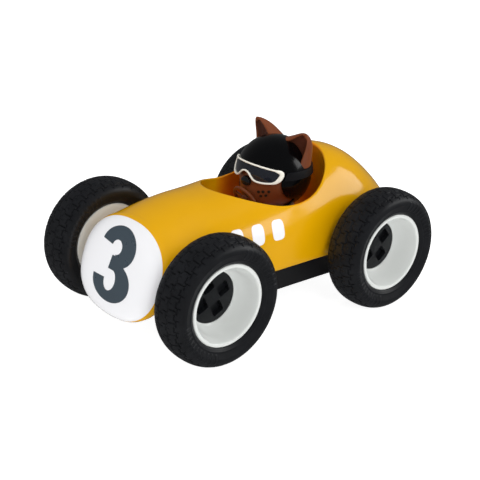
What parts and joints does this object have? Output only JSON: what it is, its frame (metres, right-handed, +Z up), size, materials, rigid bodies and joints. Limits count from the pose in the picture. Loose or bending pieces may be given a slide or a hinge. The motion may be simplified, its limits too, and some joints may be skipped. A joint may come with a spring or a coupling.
{
  "type": "pull back toy racing car",
  "caption": "Toy racer with egg-shaped two-part body, open cockpit and animal driver, deep-dish wheels on two axles and a spring motor geared to the rear axle.",
  "frame": {"origin": "centre of the overall footprint, on the ground plane under the tyres", "axes": "+Z up, nose towards -Y, tail towards +Y, axles along X"},
  "size_m": [0.0974, 0.16, 0.077],
  "materials": {
    "body_yellow": "high gloss moulded",
    "chassis_black": "satin moulded",
    "fitting_grey": "satin moulded",
    "screw_zinc": "zinc plated",
    "bush_brass": "turned",
    "axle_steel": "ground rod",
    "tyre_rubber": "soft black rubber",
    "rim_white": "gloss moulded",
    "hub_grey": "satin moulded",
    "motor_case_grey": "satin moulded",
    "gear_nylon": "natural nylon",
    "spring_steel": "blued strip",
    "wheel_brown": "gloss moulded",
    "torso_cream": "satin moulded",
    "fur_brown": "satin gloss moulded",
    "helmet_black": "high gloss",
    "nose_black": "gloss",
    "goggle_cream": "gloss",
    "lens_dark": "dark tinted, high gloss",
    "strap_rubber": "matt band"
  },
  "bodies": {
    "chassis": {"body_shell": "body_yellow", "chassis_base": "chassis_black", "cockpit_floor": "body_yellow", "floor_screws": "screw_zinc", "base_screws": "screw_zinc", "front_caps": "fitting_grey", "rear_caps": "fitting_grey", "cap_screws": "screw_zinc", "front_bushes": "bush_brass", "rear_bushes": "bush_brass", "motor_case_left": "motor_case_grey", "motor_case_right": "motor_case_grey", "motor_screws": "screw_zinc", "motor_mount_screws": "screw_zinc", "idler_shaft": "axle_steel", "mainspring": "spring_steel", "steering_column": "fitting_grey", "steering_wheel": "wheel_brown", "driver_torso": "torso_cream", "driver_screw": "screw_zinc", "driver_head": "fur_brown", "helmet": "helmet_black", "ear_right": "fur_brown", "ear_left": "fur_brown", "driver_nose": "nose_black", "goggle_frame": "goggle_cream", "goggle_lens": "lens_dark", "goggle_strap": "strap_rubber"},
    "front_axle_set": {"front_axle": "axle_steel", "tyre_front_right": "tyre_rubber", "rim_front_right": "rim_white", "hub_front_right": "hub_grey", "tyre_front_left": "tyre_rubber", "rim_front_left": "rim_white", "hub_front_left": "hub_grey"},
    "rear_axle_set": {"rear_axle": "axle_steel", "axle_pinion": "gear_nylon", "tyre_rear_right": "tyre_rubber", "rim_rear_right": "rim_white", "hub_rear_right": "hub_grey", "tyre_rear_left": "tyre_rubber", "rim_rear_left": "rim_white", "hub_rear_left": "hub_grey"},
    "idler_set": {"idler_gear": "gear_nylon"},
    "spring_set": {"spring_gear": "gear_nylon"}
  },
  "joints": [
    {"name": "front_axle_spin", "type": "hinge", "parent": "chassis", "child": "front_axle_set", "pos_m": [0, -0.053, 0.027], "axis": [1, 0, 0], "continuous": true},
    {"name": "rear_axle_spin", "type": "hinge", "parent": "chassis", "child": "rear_axle_set", "pos_m": [0, 0.0399, 0.027], "axis": [1, 0, 0], "continuous": true},
    {"name": "idler_spin", "type": "hinge", "parent": "chassis", "child": "idler_set", "pos_m": [0, 0.0459, 0.03739], "axis": [1, 0, 0], "continuous": true},
    {"name": "spring_gear_spin", "type": "hinge", "parent": "chassis", "child": "spring_set", "pos_m": [0, 0.05622, 0.03017], "axis": [1, 0, 0], "continuous": true}
  ],
  "couplings": [
    {"joint": "idler_spin", "follows": "rear_axle_spin", "ratio": -0.33333},
    {"joint": "spring_gear_spin", "follows": "rear_axle_spin", "ratio": 0.10417}
  ]
}
